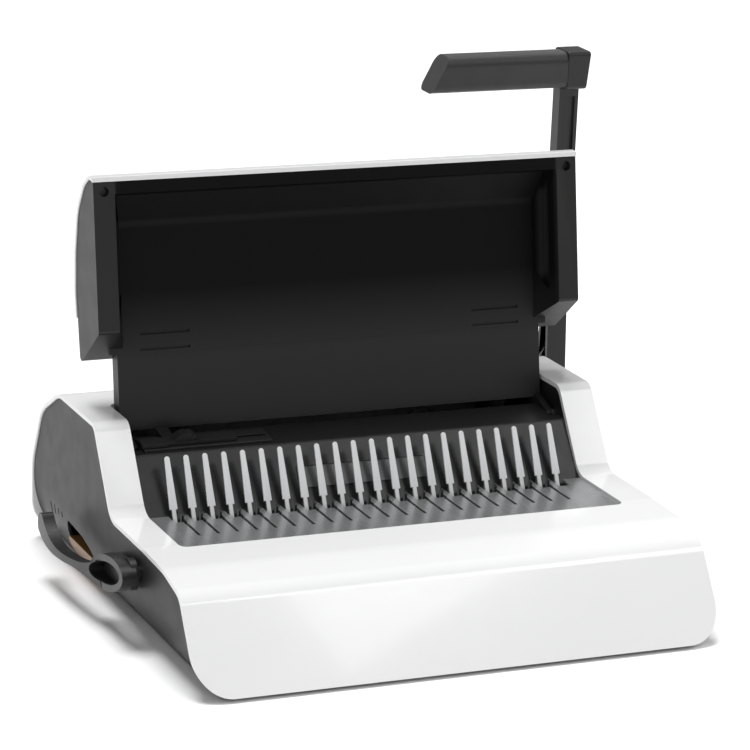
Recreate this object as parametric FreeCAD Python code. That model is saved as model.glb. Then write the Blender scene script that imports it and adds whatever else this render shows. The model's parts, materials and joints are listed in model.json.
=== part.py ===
import FreeCAD, Part
import math
import os

# Comb binding machine, modelled open: lid tilted back, punch lever up, comb lever at rest.
# Millimetres.  X to the right, Y to the back, Z up.  While modelling, Y = 0 is the front bottom
# edge of the apron and X = 0 the middle of the covers; every solid is moved when it is written,
# so that the origin ends up under the middle of the overall box, on the surface it stands on.

V = FreeCAD.Vector
X_AXIS = V(1, 0, 0)
Y_AXIS = V(0, 1, 0)
Z_AXIS = V(0, 0, 1)

# ---- driving dimensions ----------------------------------------------------------------------
DEPTH = 384.0            # front apron to rear cover
HALF_WIDTH = 196.0       # white cover, half of its width
THROAT_HALF = 170.0      # opening between the two cheeks, half of its width
SKIN = 3.0               # wall of the white covers
WALL = 2.5               # wall of the black mouldings
FLOOR_GAP = 3.0          # covers stand this far above the table
DECK_Z = 73.0            # level of the flat band in front of the throat
CHEEK_Z = 131.0          # top of the two cheeks
DECK_FRONT = 114.0       # front edge of the throat opening
THROAT_REAR = 277.0      # rear edge of the throat opening
PANEL_X = 194.6          # outer face of the side panels
PANEL_FOOT_X = 178.0     # where the side panels meet the table

PITCH = 14.2875          # comb pitch, 9/16 inch
LOOPS = 21               # rings on a letter-size comb
FINGERS = LOOPS + 1
HOOK_OFFSET = 3.0        # a hook stands this far to the right of its finger

LEVER_Y, LEVER_Z = 338.0, 70.0       # axis of the punch lever
LEVER_SWING = 74.0                   # degrees, down until the grip meets the closed lid
LEVER_LEAN = 1.6                     # degrees forward, at rest
PUNCH_STROKE = 12.0
CAM_BASE_R = 14.0
LID_Y, LID_Z = 240.0, 106.0          # axis of the lid
LID_LEAN = 8.7                       # degrees back, at rest
COMB_Y, COMB_Z = 134.5, 49.8         # axis of the comb lever
GEAR_MODULE = 2.0
GEAR_TEETH = 12
HOLE_Z = 74.0                        # row of punched holes
SLOT_FRONT, SLOT_REAR = 254.5, 257.5  # the slot that takes the sheets
BASE_TOP = FLOOR_GAP + WALL
FIT = 0.06                            # radial play of a pin that turns in its bore
HUB_X1 = 229.0           # outer face of the punch lever's hub, the machine's right-hand end
BLADE_OUTER_X = -218.0   # outer face of the comb lever's blade, its left-hand end
TO_ORIGIN = V(-(HUB_X1 + BLADE_OUTER_X) / 2, -DEPTH / 2, 0)


# ---- helpers ---------------------------------------------------------------------------------
def box(x0, x1, y0, y1, z0, z1):
    return Part.makeBox(x1 - x0, y1 - y0, z1 - z0, V(x0, y0, z0))


def rod(radius, x0, x1, y, z):
    """A cylinder along X."""
    return Part.makeCylinder(radius, x1 - x0, V(x0, y, z), X_AXIS)


def stud(radius, x, y, z0, z1):
    """A cylinder along Z."""
    return Part.makeCylinder(radius, z1 - z0, V(x, y, z0), Z_AXIS)


def peg(radius, x, z, y0, y1):
    """A cylinder along Y."""
    return Part.makeCylinder(radius, y1 - y0, V(x, y0, z), Y_AXIS)


def rounded_wire(corners):
    """A closed wire through (y, z, radius) corners in the YZ plane, each rounded by its radius."""
    count = len(corners)
    edges = []
    last = None
    first = None
    for i in range(count):
        here = V(0, corners[i][0], corners[i][1])
        before = V(0, corners[i - 1][0], corners[i - 1][1]) - here
        after = V(0, corners[(i + 1) % count][0], corners[(i + 1) % count][1]) - here
        before.normalize()
        after.normalize()
        radius = corners[i][2]
        if radius > 0:
            half = before.getAngle(after) / 2
            cut = radius / math.tan(half)
            start = here + before * cut
            end = here + after * cut
            middle_way = before + after
            middle_way.normalize()
            middle = here + middle_way * (radius / math.sin(half) - radius)
            arc = Part.Arc(start, middle, end).toShape()
        else:
            start = here
            end = here
            arc = None
        if last is not None:
            edges.append(Part.makeLine(last, start))
        else:
            first = start
        if arc is not None:
            edges.append(arc)
        last = end
    edges.append(Part.makeLine(last, first))
    return Part.Wire(edges)


def slab(wire, x0, x1):
    """The area inside a YZ wire, made solid from x0 to x1."""
    face = Part.Face(wire)
    face.translate(V(x0, 0, 0))
    return face.extrude(V(x1 - x0, 0, 0))


def profile(corners, x0, x1):
    return slab(rounded_wire(corners), x0, x1)


def both_sides(shape):
    """The shape and its mirror image across X = 0."""
    return [shape, shape.mirror(V(0, 0, 0), X_AXIS)]


def finger_x(index):
    return (index - LOOPS / 2) * PITCH


def loop_x(index):
    return (index - (LOOPS - 1) / 2) * PITCH


def turned_round_x(shape, y, z, degrees):
    turned = shape.copy()
    turned.rotate(V(0, y, z), X_AXIS, degrees)
    return turned


def write(name, shapes):
    """Writes one node: a single solid, or a group of separate solids."""
    if not isinstance(shapes, list):
        shapes = [shapes]
    solids = []
    for shape in shapes:
        solids.extend(shape.removeSplitter().Solids)
    moved = []
    for solid in solids:
        solid = solid.copy()
        solid.translate(TO_ORIGIN)
        moved.append(solid)
    result = moved[0] if len(moved) == 1 else Part.makeCompound(moved)
    volume = sum(solid.Volume for solid in moved)
    print(f"{name}: {len(moved)} solid(s), {volume / 1000:.1f} cm3, valid {result.isValid()}")
    result.exportStep(f"parts/{name}.step")


# ---- outline of the casing -------------------------------------------------------------------
BELOW = -12.0
CASING = [
    (-10.3, BELOW, 0),
    (42.0, 64.5, 20),
    (76.0, 71.5, 60),
    (120.0, DECK_Z, 60),
    (190.0, DECK_Z, 18),
    (230.0, CHEEK_Z, 12),
    (316.0, CHEEK_Z, 34),
    (361.0, 107.0, 34),
    (DEPTH, 62.0, 40),
    (DEPTH, BELOW, 0),
]


def casing_solid(inset, x0, x1):
    """The filled casing outline, drawn in by inset, from x0 to x1."""
    wire = rounded_wire(CASING)
    if inset:
        wire = wire.makeOffset2D(-inset)
    return slab(wire, x0, x1)


def casing_band(inset, thickness, x0, x1):
    band = casing_solid(inset, x0, x1).cut(casing_solid(inset + thickness, x0 - 1, x1 + 1))
    return band.cut(box(-300, 300, -50, 450, -50, FLOOR_GAP))


REAR_SPLIT_Y = 352.0     # the top cover ends here and the rear cover begins
APRON_CORNER = 26.0      # rounding of the bottom corners, front and back
REAR_SLOTS = 4


def bottom_corners(y0, y1):
    """What is cut away to round the two bottom corners of a wall that faces front or back."""
    x0 = HALF_WIDTH - APRON_CORNER
    corner = box(x0, HALF_WIDTH + 1, y0, y1, -1, FLOOR_GAP + APRON_CORNER)
    return both_sides(corner.cut(peg(APRON_CORNER, x0, FLOOR_GAP + APRON_CORNER, y0 - 1, y1 + 1)))


def make_top_cover():
    cover = casing_band(0, SKIN, -HALF_WIDTH, HALF_WIDTH)
    cover = cover.cut(box(-300, 300, REAR_SPLIT_Y, 450, -50, 300))
    opening = box(-THROAT_HALF, THROAT_HALF, DECK_FRONT, THROAT_REAR, 50, 200)
    opening = opening.makeFillet(6, [e for e in opening.Edges if is_vertical_edge(e)])
    cover = cover.cut(opening)
    # a lip turned down along the inner edge of each cheek
    lip_zone = casing_band(SKIN - 0.2, 4.2, THROAT_HALF, THROAT_HALF + SKIN)
    lip_zone = lip_zone.common(box(0, 300, 205, THROAT_REAR, 50, 200))
    cover = cover.fuse(both_sides(lip_zone))
    return cover.cut(bottom_corners(-20, 60))


def is_vertical_edge(edge):
    ends = edge.Vertexes
    return abs(ends[0].Z - ends[-1].Z) > 1 and abs(ends[0].Y - ends[-1].Y) < 0.01


def make_rear_cover():
    cover = casing_band(0, SKIN, -HALF_WIDTH, HALF_WIDTH)
    cover = cover.common(box(-300, 300, REAR_SPLIT_Y + 0.3, 450, -50, 300))
    for index in range(REAR_SLOTS):
        x = (index - (REAR_SLOTS - 1) / 2) * 60
        cover = cover.cut(box(x - 20, x + 20, DEPTH - 10, DEPTH + 5, 34, 37))
    return cover.cut(bottom_corners(DEPTH - 20, DEPTH + 5))


# ---- side panels -----------------------------------------------------------------------------
TRAY_Y0, TRAY_Y1 = 244.0, 302.0
TRAY_TOP = 24.5
VENTS = 4
VENT_STEP = 9.1
VENT_TOP = 40.5


def panel_shape(outer_x):
    """A leaning slab in XZ whose outer face turns in towards the table."""
    top = V(outer_x, 0, 140)
    bend = V(outer_x, 0, 50)
    middle = V(outer_x - 4.5, 0, 24)
    foot = V(outer_x - (PANEL_X - PANEL_FOOT_X), 0, FLOOR_GAP)
    inner_foot = V(120, 0, FLOOR_GAP)
    inner_top = V(120, 0, 140)
    edges = [Part.makeLine(top, bend), Part.Arc(bend, middle, foot).toShape()]
    edges.append(Part.makeLine(foot, inner_foot))
    edges.append(Part.makeLine(inner_foot, inner_top))
    edges.append(Part.makeLine(inner_top, top))
    return Part.Face(Part.Wire(edges)).extrude(V(0, 450, 0))


def make_right_panel_blank():
    skin = panel_shape(PANEL_X).cut(panel_shape(PANEL_X - WALL))
    return skin.common(casing_solid(SKIN + 0.25, 100, 300))


def make_side_panels():
    blank = make_right_panel_blank()
    right = blank.cut(rod(12.5, 150, 300, LEVER_Y, LEVER_Z))
    left = blank.mirror(V(0, 0, 0), X_AXIS)
    left = left.cut(rod(7, -300, -150, COMB_Y, COMB_Z))
    # way out for the chip tray, arched higher towards the back
    window = profile([(TRAY_Y0 - 2.6, -1, 0), (TRAY_Y0 - 2.6, TRAY_TOP + 0.6, 1.5), (TRAY_Y0 + 7, 32, 4),
                      (TRAY_Y0 + 20, 36, 12), (TRAY_Y1 - 3, 38.5, 6), (TRAY_Y1 + 1.6, 28, 4),
                      (TRAY_Y1 + 1.6, -1, 0)], -300, -150)
    left = left.cut(window)
    for index in range(VENTS):
        y = 339.5 - VENT_STEP * index
        vent_z0 = min(30.5 + 2.6 * index, 36.0)
        left = left.cut(box(-300, -150, y - 1, y + 1, vent_z0, VENT_TOP))
        right = right.cut(box(150, 300, y - 1, y + 1, vent_z0, VENT_TOP))
    return left, right


def is_top_x_edge(edge, z):
    ends = edge.Vertexes
    along_x = abs(ends[0].X - ends[-1].X) > 1
    return along_x and abs(ends[0].Z - z) < 0.01


# ---- base ------------------------------------------------------------------------------------
FOOT_PLACES = [(-150, 30), (150, 30), (-150, 350), (150, 350)]
SCREW_PLACES = [(-120, 20), (120, 20), (-166, 120), (166, 120), (-120, 362), (120, 362)]
BASE_HALF = 174.0
BASE_FRONT, BASE_REAR = 9.0, 379.0
POST_TOP = 50.0
POST_X = 154.0


def make_base_pan():
    pan = box(-BASE_HALF, BASE_HALF, BASE_FRONT, BASE_REAR, FLOOR_GAP, BASE_TOP)
    rim = box(-BASE_HALF, BASE_HALF, BASE_FRONT + 3, BASE_REAR, FLOOR_GAP, BASE_TOP + 3)
    rim = rim.cut(box(-BASE_HALF + WALL, BASE_HALF - WALL, BASE_FRONT + 3 + WALL, BASE_REAR - WALL, 0, 30))
    rim = rim.cut(box(-BASE_HALF - 1, -BASE_HALF + 5, TRAY_Y0 - 3, TRAY_Y1 + 3, BASE_TOP, 30))
    pan = pan.fuse(rim)
    for x, y in SCREW_PLACES:
        pan = pan.fuse(stud(4.5, x, y, BASE_TOP, BASE_TOP + 9))
    for side in (-1, 1):
        x = side * POST_X
        pan = pan.fuse(box(x - 4, x + 4, 168, 180, BASE_TOP, POST_TOP))
    for x, y in FOOT_PLACES:
        pan = pan.cut(stud(4.0, x, y, 0, BASE_TOP + 1))
    for x, y in SCREW_PLACES:
        pan = pan.cut(stud(1.6, x, y, 0, BASE_TOP + 8))
        pan = pan.cut(stud(3.6, x, y, 0, FLOOR_GAP + 1.6))
    return pan


def make_feet():
    feet = []
    for x, y in FOOT_PLACES:
        foot = stud(10, x, y, 0, FLOOR_GAP)
        foot = foot.makeChamfer(0.8, [foot.Edges[2]])
        feet.append(foot.fuse(stud(4.0, x, y, FLOOR_GAP, BASE_TOP + 1)))
    return feet


def make_base_screws():
    screws = []
    for x, y in SCREW_PLACES:
        head = stud(3.4, x, y, FLOOR_GAP - 0.4, FLOOR_GAP + 1.6)
        head = head.cut(box(x - 2.4, x + 2.4, y - 0.4, y + 0.4, 0, FLOOR_GAP + 0.6))
        screws.append(head.fuse(stud(1.6, x, y, FLOOR_GAP + 1.6, BASE_TOP + 7.5)))
    return screws


# ---- throat ----------------------------------------------------------------------------------
WALL_FOOT = (187.0, 66.0)     # foot of the sloping wall behind the fingers
LEDGE_FRONT = (219.0, 108.0)
LEDGE_REAR = (252.0, 112.5)
PIN_R = 4.0                   # lid hinge pins


def make_throat_housing():
    """Sloping wall, ledge, front of the paper slot, and the lining of the two cheeks."""
    outer = [
        (WALL_FOOT[0], WALL_FOOT[1], 0),
        (LEDGE_FRONT[0], LEDGE_FRONT[1], 3),
        (LEDGE_REAR[0], LEDGE_REAR[1], 1.5),
        (LEDGE_REAR[0], 88.0, 0),
        (LEDGE_REAR[0] - WALL, 88.0, 0),
        (LEDGE_REAR[0] - WALL, LEDGE_REAR[1] - WALL - 0.4, 1),
        (LEDGE_FRONT[0] + 1.4, LEDGE_FRONT[1] - WALL, 2),
        (WALL_FOOT[0] + 3.1, WALL_FOOT[1], 0),
    ]
    half = THROAT_HALF - 0.4
    wall = profile(outer, -half, half)
    # upright ribs on the wall
    for x in (-146.5, -61.0, 61.0, 132.0):
        rib = profile([(WALL_FOOT[0] + 3.3, DECK_Z - 0.5, 0), (LEDGE_FRONT[0] - 1.0, LEDGE_FRONT[1] - 2.2, 0),
                       (LEDGE_FRONT[0] + 1.0, LEDGE_FRONT[1] - 2.2, 0), (WALL_FOOT[0] + 6.5, DECK_Z - 0.5, 0)],
                      x - 1.6, x + 1.6)
        wall = wall.fuse(rib)
    # window for the inset plate
    wall = wall.cut(box(-50, 50, 170, 212, 80, 93))
    # seat of the edge guide's rail
    wall = wall.cut(box(-160.3, -62, 223.3, 245.7, 104, 120))
    # the ledge stops short of the cheeks to let the lid's hinge arms through
    wall = wall.cut(both_sides(box(LID_ARM_X - 0.6, THROAT_HALF, 228, 262, 80, 130)))
    # lining of the cheeks, under the cover's lip
    lining = casing_solid(SKIN + 0.25, THROAT_HALF - 0.4, THROAT_HALF + WALL - 0.4)
    lining = lining.common(box(0, 300, WALL_FOOT[0], THROAT_REAR + 6, 66, 200))
    lining = lining.cut(casing_band(0, 7.4, THROAT_HALF - 0.1, THROAT_HALF + 10))
    lining = lining.cut(rod(PIN_R + FIT, 150, 200, LID_Y, LID_Z))
    return wall.fuse(both_sides(lining))


def make_inset_plate():
    slope = [(WALL_FOOT[0] + 9.8, 80.2, 0), (WALL_FOOT[0] + 19.0, 92.8, 0),
             (WALL_FOOT[0] + 22.5, 92.8, 0), (WALL_FOOT[0] + 13.3, 80.2, 0)]
    return profile(slope, -49.8, 49.8)


def make_deck_plate():
    """Light grey plate in front of the fingers, slotted for the hooks."""
    half = THROAT_HALF - 0.3
    rear = WALL_FOOT[0] - 0.6
    top = DECK_Z - 1.5
    plate = box(-half, half, DECK_FRONT + 0.3, rear, top - 2, top)
    plate = plate.makeFillet(5.7, [e for e in plate.Edges if is_front_corner(e)])
    # a flange all round, which lies against the underside of the cover
    flange = box(-half - 5, half + 5, DECK_FRONT - 5, rear - 14, top - 3.6, top - 2)
    flange = flange.cut(box(-half + 5, half - 5, DECK_FRONT + 5, rear, 60, 75))
    plate = plate.fuse(flange)
    for index in range(FINGERS):
        x = finger_x(index)
        plate = plate.cut(box(x - 4.4, x + 4.8, 171.5, rear + 1, 60, 75))
        if index < LOOPS:
            slit_x = x + HOOK_OFFSET
            plate = plate.cut(box(slit_x - 1.1, slit_x + 1.1, 140, 176, 60, 75))
    return plate


def is_front_corner(edge):
    ends = edge.Vertexes
    return abs(ends[0].Z - ends[-1].Z) > 1 and ends[0].Y < DECK_FRONT + 1


FINGER_FOOT = (187.0, 76.0)
FINGER_LEAN = 26.0            # degrees back from upright
FINGER_LENGTH = 38.5
FINGER_THICK = 1.6


FINGER_RAIL_TOP = 61.0


def lean_back(shapes):
    """Leans flat shapes (drawn with the fingers' feet at the origin) back into their place."""
    foot_y, foot_z = FINGER_FOOT
    placed = []
    for shape in shapes:
        shape.rotate(V(0, 0, 0), X_AXIS, -FINGER_LEAN)
        shape.translate(V(0, foot_y, foot_z))
        placed.append(shape)
    return placed


def down_the_lean(z):
    """Distance from the fingers' feet down to level z, measured along the lean."""
    return -(FINGER_FOOT[1] - z) / math.cos(math.radians(FINGER_LEAN))


def make_finger_rail():
    bottom = down_the_lean(POST_TOP + 0.9)
    rail = box(-POST_X - 5, POST_X + 5, 0, FINGER_THICK, bottom, down_the_lean(FINGER_RAIL_TOP))
    return lean_back([rail])[0]


def make_comb_fingers():
    """22 tapered steel fingers with rounded tips, each standing on the rail by a narrow neck."""
    tip_r = 1.9
    foot_r = 3.0
    shaft_top = FINGER_LENGTH - tip_r
    fingers = []
    for index in range(FINGERS):
        x = finger_x(index)
        edges = [Part.makeLine(V(x - foot_r, 0, 0), V(x - tip_r, 0, shaft_top)),
                 Part.Arc(V(x - tip_r, 0, shaft_top), V(x, 0, FINGER_LENGTH),
                          V(x + tip_r, 0, shaft_top)).toShape(),
                 Part.makeLine(V(x + tip_r, 0, shaft_top), V(x + foot_r, 0, 0)),
                 Part.makeLine(V(x + foot_r, 0, 0), V(x - foot_r, 0, 0))]
        blade = Part.Face(Part.Wire(edges)).extrude(V(0, FINGER_THICK, 0))
        neck = box(x - 1.5, x + 1.5, 0, FINGER_THICK, down_the_lean(FINGER_RAIL_TOP), 1)
        fingers.append(blade.fuse(neck))
    return lean_back(fingers)


# ---- edge guide ------------------------------------------------------------------------------
GUIDE_X = -126.5              # the knob's place at rest
FENCE_TOP = 116.5


def ledge_tilt(shape):
    """Tilts a level shape about the ledge's front edge, to lie along the ledge."""
    rise = LEDGE_REAR[1] - LEDGE_FRONT[1]
    run = LEDGE_REAR[0] - LEDGE_FRONT[0]
    return turned_round_x(shape, LEDGE_FRONT[0], LEDGE_FRONT[1], math.degrees(math.atan2(rise, run)))


def make_guide_rail():
    """Channel let into the ledge, with an undercut that holds the slider."""
    x0, x1 = -160.0, -62.3
    level = LEDGE_FRONT[1]
    rail = box(x0, x1, 223.8, 245.2, level - 3.4, level + 1.4)
    rail = rail.cut(box(x0 + 2, x1 - 2, 233.0, 236.0, level - 2.0, level + 5))
    rail = rail.cut(box(x0 + 2, x1 - 2, 226.5, 242.5, level - 2.0, level - 0.4))
    return ledge_tilt(rail)


def make_guide_slider():
    """T-shaped slider with a tongue to the left, and a fence that reaches into the paper slot."""
    level = LEDGE_FRONT[1]
    x0, x1 = GUIDE_X - 14, GUIDE_X + 14
    foot = box(x0, x1, 226.9, 242.1, level - 1.7, level - 0.7)
    stem = box(x0, x1, 233.3, 235.7, level - 0.7, level + 2.2)
    plate = box(x0 - 1, x1 + 24, 227.5, 239.5, level + 1.8, level + 4.2)
    tongue = box(GUIDE_X - 34.5, x0, 226.0, 237.0, level + 1.8, level + 4.6)
    bridge = box(x0 - 1, x0 + 8, 227.5, SLOT_REAR - 1.0, level + 1.8, level + 3.6)
    body = ledge_tilt(foot.fuse([stem, plate, tongue, bridge]))
    fence = box(x0 - 1, x0 + 2, SLOT_FRONT + 0.4, SLOT_REAR - 1.0, 90, FENCE_TOP)
    return body.fuse(fence)


def make_guide_knob():
    """Half-round thumb knob with an upright ridge beside it."""
    level = LEDGE_FRONT[1] + 4.2
    dome = Part.makeCylinder(11.5, 9.5, V(GUIDE_X, 229.0, level - 6.5), Y_AXIS)
    dome = dome.common(box(GUIDE_X - 20, GUIDE_X + 20, 200, 300, level, level + 20))
    ridge = box(GUIDE_X + 4.0, GUIDE_X + 5.6, 228.3, 239.4, level, level + 4.2)
    return ledge_tilt(dome.fuse(ridge))


# ---- punch unit ------------------------------------------------------------------------------
DIE_Z0, DIE_Z1 = 62.0, 86.0
DIE_HALF = 158.0
FRAME_X0, FRAME_X1 = 158.4, 161.4
CAM_X = 100.0
CAM_WIDTH = 12.0


def punched_bar(y0, y1):
    bar = box(-DIE_HALF, DIE_HALF, y0, y1, DIE_Z0, DIE_Z1)
    for index in range(LOOPS):
        x = loop_x(index)
        bar = bar.cut(box(x - 4.0, x + 4.0, y0 - 1, y1 + 1, HOLE_Z - 1.6, HOLE_Z + 1.6))
    return bar


def make_die_spacers():
    """Shims that keep the paper slot open, joined under the sheets as the paper stop."""
    strip = box(-DIE_HALF, DIE_HALF, SLOT_FRONT, SLOT_REAR, DIE_Z0, DIE_Z1)
    return strip.cut(box(-DIE_HALF + 6, DIE_HALF - 6, 245, 265, HOLE_Z - 4.3, 100))


def make_frame_plate():
    """Right-hand end plate of the punch unit, with a window that clears the chip tray."""
    plate = box(FRAME_X0, FRAME_X1, 208, 356, BASE_TOP, 88)
    plate = plate.makeFillet(8, [e for e in plate.Edges if is_top_x_edge(e, 88)])
    plate = plate.cut(box(150, 170, TRAY_Y0 - 4, TRAY_Y1 + 4, 0, TRAY_TOP + 4))
    plate = plate.cut(rod(9.0, 150, 170, LEVER_Y, LEVER_Z))
    foot = box(FRAME_X0 - 10, FRAME_X0, 310, 344, BASE_TOP, BASE_TOP + 2)
    return plate.fuse(foot)


def make_bush():
    """Flanged bush that carries the punch shaft in an end plate."""
    bush = rod(9.0, FRAME_X0 - 0.2, FRAME_X1 + 0.2, LEVER_Y, LEVER_Z)
    bush = bush.fuse(rod(11.5, FRAME_X1 + 0.2, FRAME_X1 + 2.2, LEVER_Y, LEVER_Z))
    return bush.cut(rod(6.0 + FIT, 100, 200, LEVER_Y, LEVER_Z))


def make_cam(x):
    """Spiral cam: the radius grows evenly over the lever's swing, so the bar moves evenly."""
    steps = 16
    points = []
    for step in range(steps + 1):
        share = step / steps
        angle = math.radians(180 - LEVER_SWING * share)
        radius = CAM_BASE_R + PUNCH_STROKE * share
        points.append(V(0, radius * math.cos(angle), radius * math.sin(angle)))
    spiral = Part.BSplineCurve()
    spiral.interpolate(points)
    back = V(0, CAM_BASE_R * math.cos(math.radians(10)), CAM_BASE_R * math.sin(math.radians(10)))
    under = V(0, 0, -CAM_BASE_R)
    edges = [spiral.toShape(), Part.makeLine(points[-1], back),
             Part.Arc(back, under, points[0]).toShape()]
    cam = Part.Face(Part.Wire(edges)).extrude(V(CAM_WIDTH, 0, 0))
    cam.translate(V(x - CAM_WIDTH / 2, LEVER_Y, LEVER_Z))
    return cam.cut(rod(6.0, x - 20, x + 20, LEVER_Y, LEVER_Z))


def make_punch_bar():
    return box(-152, 152, 284, 296, 66, 82)


def make_punch_pins():
    pins = []
    for index in range(LOOPS):
        x = loop_x(index)
        pin = box(x - 3.85, x + 3.85, SLOT_REAR + 1.5, 284, HOLE_Z - 1.45, HOLE_Z + 1.45)
        pins.append(pin)
    return pins


def make_cam_followers():
    """Two blocks behind the punch bar whose rounded noses ride on the cams."""
    nose_r = 4.0
    tip = LEVER_Y - CAM_BASE_R - 0.6
    block = box(CAM_X - 7, CAM_X + 7, 296, tip - nose_r, LEVER_Z - nose_r, LEVER_Z + nose_r)
    block = block.fuse(rod(nose_r, CAM_X - 7, CAM_X + 7, tip - nose_r, LEVER_Z))
    return both_sides(block)


def make_return_spring():
    """Torsion spring round the punch shaft, inside the right-hand end plate."""
    helix = Part.makeHelix(2.4, 12.0, 9.0)
    wire_radius = 0.8
    circle = Part.Wire(Part.makeCircle(wire_radius, V(9.0, 0, 0), Y_AXIS))
    coil = Part.Wire(helix.Edges).makePipeShell([circle], True, True)
    coil.rotate(V(0, 0, 0), Y_AXIS, 90)
    coil.translate(V(FRAME_X0 - 16, LEVER_Y, LEVER_Z))
    return coil


# ---- punch lever -----------------------------------------------------------------------------
HUB_X0 = 197.0
ARM_X0, ARM_X1 = 205.5, 221.5
ARM_HALF = 6.0                # half of the arm's depth, above its foot
GRIP_X0, GRIP_X1 = 96.0, 208.5
COLLAR_X1 = 227.5
GRIP_Z0, GRIP_Z1 = 339.0, 368.0
GRIP_Y0, GRIP_Y1 = 325.0, 351.0


def lever_lean(shape):
    """Leans a lever piece, drawn upright, forward to its place at rest."""
    return turned_round_x(shape, LEVER_Y, LEVER_Z, LEVER_LEAN)


def make_punch_shaft():
    return rod(6.0, -FRAME_X1 - 6, 224.0, LEVER_Y, LEVER_Z)


def make_lever_arm():
    """Hub and upright arm, with a fluted channel down the front and a braced pocket at its foot."""
    hub = rod(20, HUB_X0, HUB_X1 - 3, LEVER_Y, LEVER_Z)
    arm = profile([(LEVER_Y - 14, LEVER_Z, 0), (LEVER_Y - ARM_HALF - 1, 168, 30), (LEVER_Y - ARM_HALF, GRIP_Z0, 0),
                   (LEVER_Y + ARM_HALF, GRIP_Z0, 0), (LEVER_Y + ARM_HALF, 168, 30), (LEVER_Y + 12, LEVER_Z, 0)],
                  ARM_X0, ARM_X1)
    tenon = box(GRIP_X1 + 2, ARM_X1 - 2, LEVER_Y - 4, LEVER_Y + 4, GRIP_Z0, GRIP_Z0 + 20)
    arm = arm.fuse([hub, tenon])
    flute = profile([(LEVER_Y - 20, 178, 0), (LEVER_Y - 20, GRIP_Z0 - 3, 0), (LEVER_Y - 3.6, GRIP_Z0 - 7, 0),
                     (LEVER_Y - 3.6, 184, 0)], ARM_X0 + 3, ARM_X1 - 3)
    arm = arm.cut(flute)
    pocket = profile([(LEVER_Y - 9, 96, 1), (LEVER_Y - 4.5, 152, 1), (LEVER_Y + 3.8, 152, 1),
                      (LEVER_Y + 5.5, 118, 1)], ARM_X0 - 1, ARM_X0 + 6)
    brace = profile([(LEVER_Y - 8, 136, 0), (LEVER_Y - 8, 139.5, 0), (LEVER_Y + 8, 119.5, 0),
                     (LEVER_Y + 8, 116, 0)], ARM_X0, ARM_X0 + 7)
    arm = arm.cut(pocket.cut(brace))
    arm = arm.cut(rod(6.0, 150, 224.0, LEVER_Y, LEVER_Z))
    return lever_lean(arm.cut(rod(15, HUB_X1 - 5, HUB_X1, LEVER_Y, LEVER_Z)))


def make_hub_cap():
    cap = rod(14.9, HUB_X1 - 4.8, HUB_X1 - 0.8, LEVER_Y, LEVER_Z)
    return cap.fuse(rod(11, HUB_X1 - 0.8, HUB_X1, LEVER_Y, LEVER_Z))


def make_grip_collar():
    """Square cap over the top of the arm, which carries the grip."""
    block = profile([(GRIP_Y0, GRIP_Z0, 3), (GRIP_Y0, GRIP_Z1, 3), (GRIP_Y1, GRIP_Z1, 3),
                     (GRIP_Y1, GRIP_Z0, 3)], GRIP_X1, COLLAR_X1)
    # the outer side draws in towards the bottom
    taper = Part.makePolygon([V(COLLAR_X1 + 1, 300, GRIP_Z1 + 1), V(COLLAR_X1, 300, GRIP_Z1),
                              V(COLLAR_X1 - 3, 300, GRIP_Z0 - 1), V(COLLAR_X1 + 1, 300, GRIP_Z0 - 1),
                              V(COLLAR_X1 + 1, 300, GRIP_Z1 + 1)])
    block = block.cut(Part.Face(taper).extrude(V(0, 80, 0)))
    mortise = box(GRIP_X1 + 2, ARM_X1 - 2, LEVER_Y - 4, LEVER_Y + 4, GRIP_Z0 - 1, GRIP_Z0 + 20)
    core = rod(7.5, GRIP_X0 + 22, GRIP_X1, LEVER_Y, (GRIP_Z0 + GRIP_Z1) / 2)
    return lever_lean(block.cut(mortise).fuse(core))


def make_lever_grip():
    """Soft grip, bevelled at its free end."""
    grip = profile([(GRIP_Y0 + 0.6, GRIP_Z0 + 0.8, 6), (GRIP_Y0 + 0.6, GRIP_Z1 - 0.6, 8),
                    (GRIP_Y1 - 0.6, GRIP_Z1 - 0.6, 8), (GRIP_Y1 - 0.6, GRIP_Z0 + 0.8, 6)], GRIP_X0, GRIP_X1)
    # the end slants back from bottom to top
    slant = Part.makePolygon([V(GRIP_X0 - 1, 300, GRIP_Z0 - 1), V(GRIP_X0 + 15, 300, GRIP_Z1 + 1),
                              V(GRIP_X0 - 1, 300, GRIP_Z1 + 1), V(GRIP_X0 - 1, 300, GRIP_Z0 - 1)])
    grip = grip.cut(Part.Face(slant).extrude(V(0, 80, 0)))
    return lever_lean(grip.cut(rod(7.5, GRIP_X0 + 22, GRIP_X1 + 1, LEVER_Y, (GRIP_Z0 + GRIP_Z1) / 2)))


def make_shaft_rings():
    """Snap rings that keep the punch shaft from moving sideways."""
    ring = rod(8.6, FRAME_X1 + 2.5, FRAME_X1 + 3.7, LEVER_Y, LEVER_Z)
    ring = ring.cut(rod(6.0, 100, 200, LEVER_Y, LEVER_Z))
    ring = ring.cut(box(100, 200, LEVER_Y - 2, LEVER_Y + 2, LEVER_Z, LEVER_Z + 20))
    return both_sides(ring)


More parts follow.
